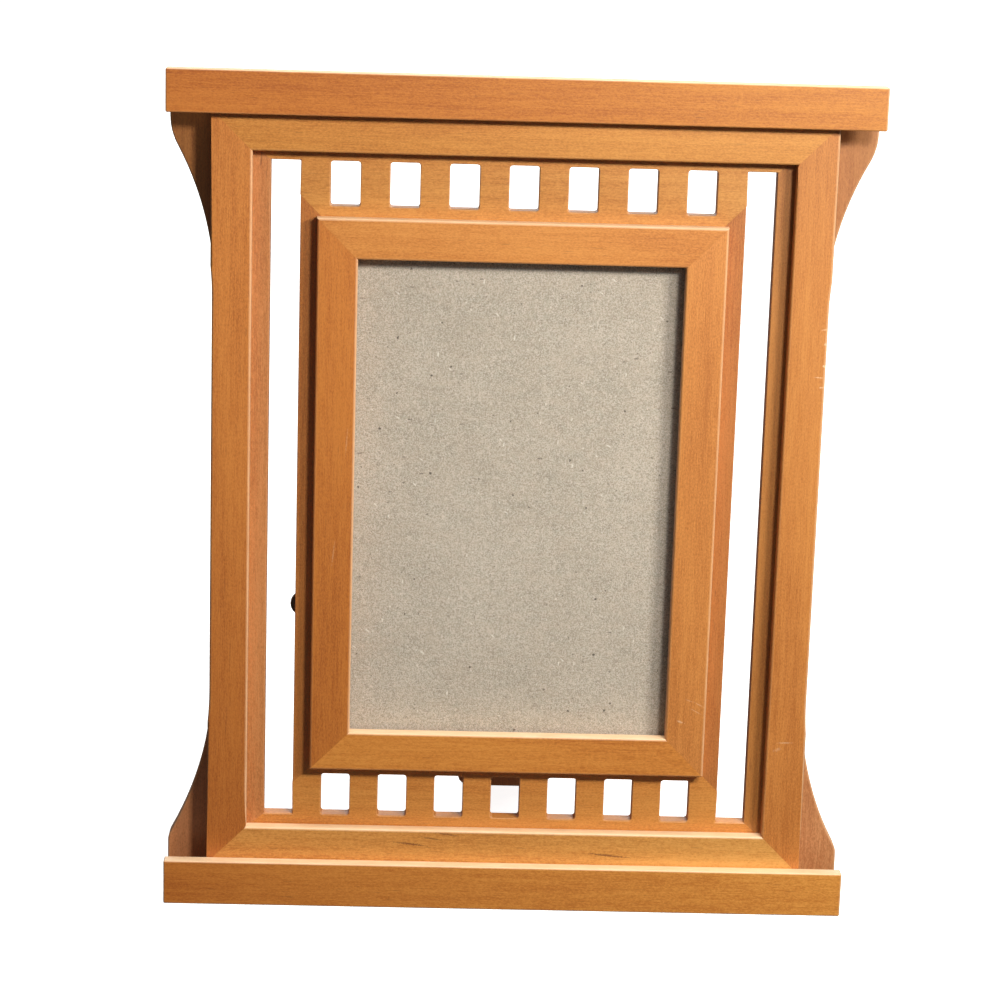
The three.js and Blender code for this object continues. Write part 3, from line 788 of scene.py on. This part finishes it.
class Joiner:
    """Makes the finished pieces that stand for the flat solids."""

    # The least share of a mitre's normal along both axes of the face, and its least area in mm2.
    MITRE_SLOPE = 0.55
    MITRE_AREA = 20.0
    # How far a mitred end is drawn up to its neighbour, in millimetres.
    GLUE_CLOSE = 0.13
    # The most of a side's normal that may lie from front to back.
    SIDE_SLOPE = 0.5

    def __init__(self, register: Register) -> None:
        """Keeps the register that the pieces are entered in."""
        self.register = register

    def is_mitre(self, face: BMFace, axes: Axes) -> bool:
        """Whether a face is large and slants across the board's plane, as a mitre does."""
        normal = axes.own(face.normal)
        slants = min(abs(normal.x), abs(normal.z)) > self.MITRE_SLOPE
        return slants and face.calc_area() > self.MITRE_AREA * MM * MM

    def is_side(self, face: BMFace, axes: Axes) -> bool:
        """Whether a face is a narrow side of a board, which is painted paler as painted highlight where it faces
        up or to the right.
        """
        return abs(axes.own(face.normal).y) < self.SIDE_SLOPE and not self.is_mitre(face, axes)

    def wear_and_light(self, face: BMFace, axes: Axes, side: float) -> float:
        """How pale a face is made: painted highlight, most where it faces up and by a share where it faces right,
        and a little wear elsewhere.
        """
        normal = axes.own(face.normal)
        return max(LEAST_WEAR, normal.z, side * normal.x)

    def close_joints(self, work: BMesh, axes: Axes, grain: Grain) -> None:
        """Draws a board's mitred ends up to its neighbours, so that the glue line nearly closes.

        Args:
            work: The board.
            axes: The axes that it lies along.
            grain: The axis that its ends lie on.
        """
        along = axes.turn.col[grain.value]
        for face in [face for face in work.faces if self.is_mitre(face, axes)]:
            outward = math.copysign(self.GLUE_CLOSE * MM, face.normal.dot(along))
            bmesh.ops.translate(work, verts=face.verts, vec=along * outward)

    def eased_copy(
        self, node: str, name: str, axes: Axes, easing: Easing, grain: Grain | None = None
    ) -> Object:
        """A copy of a node with its faces joined up and its edges eased.

        Args:
            node: The node to copy.
            name: The piece's name.
            axes: The axes that the node lies along.
            easing: How its edges are eased.
            grain: The axis along the board, if its sides may take wear and painted highlight and its mitres may
                close up.

        Returns:
            The piece, in place.
        """
        work = bmesh.new()
        work.from_mesh(frame["nodes"][node].data)
        bmesh.ops.remove_doubles(work, verts=work.verts, dist=WELD)
        bmesh.ops.dissolve_limit(work, angle_limit=FLAT_ANGLE, verts=work.verts, edges=work.edges)
        work.normal_update()
        if grain and easing.keep_joints:
            self.close_joints(work, axes, grain)
        # Narrow sides get a little wear and painted highlight where they face up or to the right.
        mark = work.faces.layers.float.new(PALE_WEAR_AND_LIGHT)
        for face in work.faces:
            rubbed_and_lit = grain and easing.worn_and_lit and self.is_side(face, axes)
            face[mark] = self.wear_and_light(face, axes, SIDE_RIGHT_LIGHT) if rubbed_and_lit else 0.0
        chosen = []
        for edge in work.edges:
            crisp = easing.keep_joints and any(self.is_mitre(face, axes) for face in edge.link_faces)
            if edge.is_manifold and edge.calc_face_angle() > SHARP_ANGLE and not crisp:
                chosen.append(edge)
        made = bmesh.ops.bevel(
            work, geom=chosen, offset=easing.width_mm * MM, offset_type="OFFSET", segments=easing.segments,
            profile=0.5, affect="EDGES", clamp_overlap=False, material=-1,
        )
        # The eased edges are painted pale as painted highlight where they face up or to the right, and keep the
        # least paleness elsewhere.
        for face in made["faces"]:
            face[mark] = self.wear_and_light(face, axes, EDGE_RIGHT_LIGHT) if easing.worn_and_lit else LEAST_WEAR
        return self.finished(work, name)

    def finished(self, work: BMesh, name: str) -> Object:
        """A bmesh, cleared of slivers, as an object with even shading and crisp corners.

        Args:
            work: The bmesh, which is freed.
            name: The piece's name.

        Returns:
            The object.
        """
        bmesh.ops.remove_doubles(work, verts=work.verts, dist=SLIVER)
        bmesh.ops.dissolve_degenerate(work, edges=work.edges, dist=SLIVER)
        bmesh.ops.triangulate(work, faces=[face for face in work.faces if len(face.verts) > QUAD])
        for face in work.faces:
            face.smooth = True
        for edge in work.edges:
            edge.smooth = not (edge.is_manifold and edge.calc_face_angle() > SHARP_ANGLE)
        piece = shaped(name, work)
        even = piece.modifiers.new("even_shading", "WEIGHTED_NORMAL")
        even.keep_sharp = True
        return piece

    def enter(self, piece: Object, material: Material, node: str) -> None:
        """Dresses a piece and shows it in the place of a node."""
        piece.data.materials.append(material)
        self.register.stand_in(piece, node)


@dataclass
class WoodenBoards:
    """The boards of the frame, front to back: bars and blocks, raised frames, fret layer and side wings.

    Attributes:
        joiner: Makes the pieces.
        axes: The frame's axes.
        bar: Easing of the bars and blocks.
        moulding: Easing of the raised frames.
        fret: Easing of the fret layer.
        wing: Easing of the side wings.
    """

    joiner: Joiner
    axes: Axes
    bar: Easing = Easing(0.5)
    moulding: Easing = Easing(0.7)
    fret: Easing = Easing(0.35, worn_and_lit=False)
    wing: Easing = Easing(0.6, keep_joints=False)

    def plan(self) -> list[tuple[str, Easing, Grain]]:
        """Every board, with its easing and the run of its grain.

        Returns:
            The boards' nodes, in building order.
        """
        across = ("top_bar", "base_bar", "top_block", "base_block")
        boards = [(node, self.bar, Grain.ACROSS) for node in across]
        for ring in ("outer", "inner"):
            boards += [(f"{ring}_rail_{end}", self.moulding, Grain.ACROSS) for end in ("top", "bottom")]
            boards += [(f"{ring}_stile_{hand}", self.moulding, Grain.UPRIGHT) for hand in HANDS]
        boards += [(f"fret_{end}", self.fret, Grain.ACROSS) for end in ("top", "bottom")]
        for hand in HANDS:
            boards += [(f"{strip}_strip_{hand}", self.fret, Grain.UPRIGHT) for strip in ("fret", "edge")]
            boards.append((f"side_wing_{hand}", self.wing, Grain.UPRIGHT))
        return boards

    def build(self) -> None:
        """Makes and dresses every board."""
        for seed, (node, easing, grain) in enumerate(self.plan(), start=1):
            piece = self.joiner.eased_copy(node, f"{node}_board", self.axes, easing, grain)
            self.joiner.enter(piece, self.dress(node, grain, seed), node)

    def dress(self, node: str, grain: Grain, seed: int) -> Material:
        """The wood of one board, with its own tone, its painted light and shade, and its marks.

        Args:
            node: The board's node.
            grain: The run of its grain.
            seed: Which part of the log it came from.

        Returns:
            The material.
        """
        wood = RAIL_WOOD if grain is Grain.ACROSS else STILE_WOOD
        if "strip" in node or "wing" in node:
            wood = LAYER_WOOD
        tone_and_light = BOARD_TONE_AND_LIGHT.get(node, PLAIN)
        marks = BOARD_MARKS.get(node, ())
        return wood.material(f"{node}_wood", self.axes, grain, seed, tone_and_light, marks)


@dataclass
class Fillings:
    """What lies in the rebate: glass, card and back board.

    Attributes:
        joiner: Makes the pieces.
        axes: The frame's axes.
        arris: Easing of the glass.
        cut: Easing of the card and the back board.
    """

    joiner: Joiner
    axes: Axes
    arris: Easing = Easing(0.2, segments=2)
    cut: Easing = Easing(0.12, segments=2)

    def build(self) -> None:
        """Makes and dresses the three sheets."""
        sheets = (
            ("glass_pane", self.arris, ClearGlass()),
            ("backing_card", self.cut, Chipboard()),
            ("back_board", self.cut, Hardboard()),
        )
        for node, easing, finish in sheets:
            piece = self.joiner.eased_copy(node, f"{node}_sheet", self.axes, easing)
            self.joiner.enter(piece, finish.material(f"{node}_finish", self.axes), node)


@dataclass
class Fasteners:
    """Screws and rivets, turned anew with finer rounding, a driver's cross in the screws.

    Attributes:
        joiner: Makes the pieces.
        steps: Facets round a head.
        dome: Points up the dome of a head.
        rim: Height of a head's upright rim, as a share of the head's.
        cross_reach: Half the length of the driver's cross, as a share of the head's radius.
        cross_width: Half the width of one arm, as a share of the head's radius.
        cross_depth_mm: Depth of the cross.
    """

    joiner: Joiner
    steps: int = 40
    dome: int = 6
    rim: float = 0.35
    cross_reach: float = 0.52
    cross_width: float = 0.13
    cross_depth_mm: float = 0.7

    # How near points are merged or taken to lie on a cut, in millimetres.
    MERGE = 0.001
    ON_CUT = 0.0005
    # The top of a head faces up by more than this share.
    TOP_SLOPE = 0.1

    def profile(self, shank: float, grip: float, head: float, rise: float) -> list[Vector]:
        """Half the outline of a fastener that points along -Y, in millimetres.

        Args:
            shank: The shank's radius.
            grip: The shank's length.
            head: The head's radius.
            rise: The head's height.

        Returns:
            Points from the shank's tip to the top of the dome.
        """
        rim = self.rim * rise
        straight = ((0, 0), (shank, 0), (shank, grip), (head, grip))
        points = [Vector((radius, height, 0)) for radius, height in straight]
        for step in range(self.dome + 1):
            angle = math.pi / 2 * step / self.dome
            height = grip + rim + (rise - rim) * math.sin(angle)
            points.append(Vector((head * math.cos(angle), height, 0)))
        return points

    def turned(self, profile: Sequence[Vector]) -> BMesh:
        """A profile spun round the Y axis into a closed body."""
        work = bmesh.new()
        verts = [work.verts.new(point) for point in profile]
        edges = [work.edges.new(pair) for pair in zip(verts, verts[1:])]
        bmesh.ops.spin(
            work, geom=verts + edges, axis=(0, 1, 0), cent=(0, 0, 0), angle=2 * math.pi,
            steps=self.steps, use_merge=True,
        )
        bmesh.ops.remove_doubles(work, verts=work.verts, dist=self.MERGE)
        bmesh.ops.recalc_face_normals(work, faces=work.faces)
        return work

    def recess(self, work: BMesh, head: float, seat: float) -> None:
        """Sinks a driver's cross into a head.

        Args:
            work: The fastener.
            head: The head's radius.
            seat: The height of the head's underside.
        """
        reach = head * self.cross_reach
        width = head * self.cross_width
        for axis in ((1, 0, 0), (0, 0, 1)):
            for offset in (-reach, -width, width, reach):
                geom = list(work.verts) + list(work.edges) + list(work.faces)
                point = Vector(axis) * offset
                bmesh.ops.bisect_plane(work, geom=geom, dist=self.ON_CUT, plane_co=point, plane_no=axis)
        chosen = []
        for face in work.faces:
            spot = face.calc_center_median()
            near, far = sorted((abs(spot.x), abs(spot.z)))
            on_top = face.normal.y > self.TOP_SLOPE and spot.y > seat
            if near < width and far < reach and on_top:
                chosen.append(face)
        sunk = bmesh.ops.extrude_face_region(work, geom=chosen)
        moved = [item for item in sunk["geom"] if isinstance(item, BMVert)]
        bmesh.ops.translate(work, verts=moved, vec=(0, -self.cross_depth_mm, 0))
        bmesh.ops.delete(work, geom=[face for face in chosen if face.is_valid], context="FACES")

    def build(self, node: str, axes: Axes, finish: Steel, kind: Head) -> None:
        """Turns one fastener in the place of its node and dresses it.

        Args:
            node: The fastener's node.
            axes: The axes that it lies along.
            finish: Its plating.
            kind: Whether it is a rivet, or a screw with a driver's cross.
        """
        low, high = axes.box(node)
        head = (high.x - low.x) / 2
        rise, shank = kind.value
        grip = high.y - low.y - rise
        work = self.turned(self.profile(shank, grip, head, rise))
        if kind is Head.SCREW:
            self.recess(work, head, grip)
        work.faces.layers.float.new(PALE_WEAR_AND_LIGHT)
        placed = axes.matrix((low.x + high.x) / 2, low.y, (low.z + high.z) / 2)
        bmesh.ops.transform(work, matrix=placed, verts=work.verts)
        piece = self.joiner.finished(work, f"{node}_turned")
        self.joiner.enter(piece, finish.material(f"{node}_plating", axes), node)


@dataclass
class BackFittings:
    """Turn buttons, hinge and leg behind the frame, with their fasteners.

    Attributes:
        joiner: Makes the pieces.
        face: The frame's axes.
        leg: The open leg's axes.
        plate: Easing of pressed sheet metal.
        button: Easing of a turn button.
        plank: Easing of the leg.
        seed: Which part of the log the leg came from.
    """

    joiner: Joiner
    face: Axes
    leg: Axes
    plate: Easing = Easing(0.12, segments=2, keep_joints=False)
    button: Easing = Easing(0.4, keep_joints=False)
    plank: Easing = Easing(0.5, keep_joints=False)
    seed: int = 31

    def buttons(self, fasteners: Fasteners) -> None:
        """The turn buttons and the screws beside them."""
        for corner in (f"{level}_{hand}" for level in ("upper", "lower") for hand in HANDS):
            node = f"turn_button_{corner}"
            piece = self.joiner.eased_copy(node, f"{node}_pressing", self.face, self.button)
            self.joiner.enter(piece, DARK_STEEL.material(f"{node}_finish", self.face), node)
            fasteners.build(f"button_screw_{corner}", self.face, BRIGHT_STEEL, Head.SCREW)
            fasteners.build(f"wing_screw_{corner}", self.face, DARK_STEEL, Head.SCREW)

    def stand(self, fasteners: Fasteners) -> None:
        """The leg, the two leaves, their pin and their rivets."""
        leg = self.joiner.eased_copy("easel_leg", "easel_leg_plank", self.leg, self.plank)
        wood = STILE_WOOD.material("easel_leg_wood", self.leg, Grain.UPRIGHT, self.seed, PLAIN)
        self.joiner.enter(leg, wood, "easel_leg")
        for half, axes in (("fixed", self.face), ("moving", self.leg)):
            node = f"hinge_{half}_leaf"
            leaf = self.joiner.eased_copy(node, f"{node}_pressing", axes, self.plate)
            self.joiner.enter(leaf, BRIGHT_STEEL.material(f"{node}_plating", axes), node)
            for hand in HANDS:
                fasteners.build(f"hinge_rivet_{half}_{hand}", axes, BRIGHT_STEEL, Head.RIVET)
        pin = self.joiner.eased_copy("hinge_pin", "hinge_pin_wire", self.face, self.plate)
        self.joiner.enter(pin, BRIGHT_STEEL.material("hinge_pin_plating", self.face), "hinge_pin")

    def build(self) -> None:
        """Makes and dresses everything behind the frame."""
        fasteners = Fasteners(self.joiner)
        self.buttons(fasteners)
        self.stand(fasteners)


@dataclass(frozen=True)
class SoftLight:
    """A soft light, placed by angles from the frame's normal.

    Attributes:
        name: Its name.
        side: How far it stands to the right, in degrees.
        rise: How far it stands above, in degrees.
        distance: Its distance from the frame's middle, in metres.
        width: Its width, in metres.
        height: Its height, in metres.
        power: Its power, in watts.
        colour: Its colour.
    """

    name: str
    side: float
    rise: float
    distance: float
    width: float
    height: float
    power: float
    colour: Tint = (1.0, 0.97, 0.93)

    def build(self, axes: Axes) -> None:
        """Hangs the light, turned to the frame's middle."""
        side, rise = math.radians(self.side), math.radians(self.rise)
        toward = Vector((math.sin(side) * math.cos(rise), -math.cos(side) * math.cos(rise), math.sin(rise)))
        toward = axes.turn @ toward
        data = bpy.data.lights.new(self.name, "AREA")
        data.shape = "RECTANGLE"
        data.size = self.width
        data.size_y = self.height
        data.energy = self.power
        data.color = self.colour
        light = bpy.data.objects.new(self.name, data)
        light.location = axes.origin + toward * self.distance
        light.rotation_euler = toward.to_track_quat("Z", "Y").to_euler()
        bpy.context.scene.collection.objects.link(light)


LIGHTS = (
    SoftLight("key", side=23, rise=31, distance=0.65, width=0.09, height=0.07, power=2.3),
    SoftLight("window", side=44, rise=28, distance=0.65, width=0.14, height=0.1, power=2.7),
    SoftLight("overhead", side=35, rise=84, distance=0.9, width=0.4, height=0.25, power=6.0),
    SoftLight("backdrop", side=180, rise=14, distance=1.0, width=1.0, height=0.34, power=2.4),
)


@dataclass
class Studio:
    """Camera, pale floor and soft light.

    Attributes:
        axes: The frame's axes, which the view and the light are set by.
        lens_mm: The lens.
        sensor_mm: The width of the sensor behind it.
        nearest: How near the camera sees, in metres.
        view_turn: How the camera is turned from a straight-on view, as a rotation vector in radians.
        view_offset_mm: The frame's middle in the camera's axes: right, down and ahead.
        sky: Strength of the even light all round.
        paper_tone: The colour of the floor and the wall.
        floor_glow: How far the floor lightens its own shadows.
        wall_glow: How bright the wall round it is.
        wall_reach: How far off the wall stands, in metres.
        wall_facets: Facets round the wall.
    """

    axes: Axes
    lens_mm: float = 106.9
    sensor_mm: float = 36.0
    nearest: float = 0.01
    view_turn: Vector = Vector((0.2467, -0.0262, 0.0271))
    view_offset_mm: Vector = Vector((4.43, 1.45, 884.3))
    sky: float = 0.08
    paper_tone: Colour = srgb(240, 240, 238)
    floor_glow: float = 0.9
    wall_glow: float = 0.92
    wall_reach: float = 4.0
    wall_facets: int = 96

    def camera(self) -> None:
        """Sets the camera where the view was taken from."""
        straight = Matrix(((1, 0, 0), (0, 0, -1), (0, 1, 0)))
        seen = Quaternion(self.view_turn.normalized(), self.view_turn.length).to_matrix() @ straight
        right, down, ahead = seen
        spot = seen.transposed() @ -self.view_offset_mm
        turned = Matrix((right, -down, -ahead)).transposed()
        data = bpy.data.cameras.new("view")
        data.sensor_width = self.sensor_mm
        data.lens = self.lens_mm
        data.clip_start = self.nearest
        view = bpy.data.objects.new("view", data)
        view.matrix_world = Matrix.Translation(self.axes.place(*spot)) @ (self.axes.turn @ turned).to_4x4()
        bpy.context.scene.collection.objects.link(view)
        bpy.context.scene.camera = view

    def sky_light(self) -> None:
        """Even white light all round, and colours shown as they are."""
        world = bpy.data.worlds.new("sky")
        world.use_nodes = True
        background = world.node_tree.nodes["Background"]
        background.inputs["Color"].default_value = WHITE
        background.inputs["Strength"].default_value = self.sky
        bpy.context.scene.world = world
        bpy.context.scene.view_settings.view_transform = "Standard"

    def paper(self, name: str, work: BMesh, glow: float) -> Object:
        """A plain pale part of the stage, which the frame neither reflects nor takes its colour from.

        Args:
            name: Its name.
            work: Its shape, which is freed.
            glow: How far it lightens its own shadows.

        Returns:
            The object.
        """
        sheet = shaped(name, work)
        shader = Shader(f"{name}_paper")
        shader.set(Base_Color=self.paper_tone, Roughness=0.8)
        shader.set(Emission_Color=WHITE, Emission_Strength=glow)
        sheet.data.materials.append(shader.material)
        sheet.visible_diffuse = False
        sheet.visible_glossy = False
        return sheet

    def floor(self) -> None:
        """A plain pale floor that takes shadows, and a pale wall all round it."""
        work = bmesh.new()
        bmesh.ops.create_grid(work, x_segments=1, y_segments=1, size=2 * self.wall_reach)
        self.paper("floor", work, self.floor_glow)
        work = bmesh.new()
        reach = self.wall_reach
        wall = {"radius1": reach, "radius2": reach, "depth": 2 * reach, "segments": self.wall_facets}
        bmesh.ops.create_cone(work, cap_ends=False, **wall)
        self.paper("backdrop", work, self.wall_glow).visible_shadow = False

    def build(self) -> None:
        """Sets up the whole studio."""
        self.camera()
        for light in LIGHTS:
            light.build(self.axes)
        self.sky_light()
        self.floor()


def main() -> None:
    """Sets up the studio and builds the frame's pieces in order."""
    logging.basicConfig(level=logging.INFO, format="%(message)s")
    register = Register()
    face, leg = register.axes()
    joiner = Joiner(register)
    Studio(face).build()
    WoodenBoards(joiner, face).build()
    Fillings(joiner, face).build()
    BackFittings(joiner, face, leg).build()


if __name__ == "__main__":
    main()
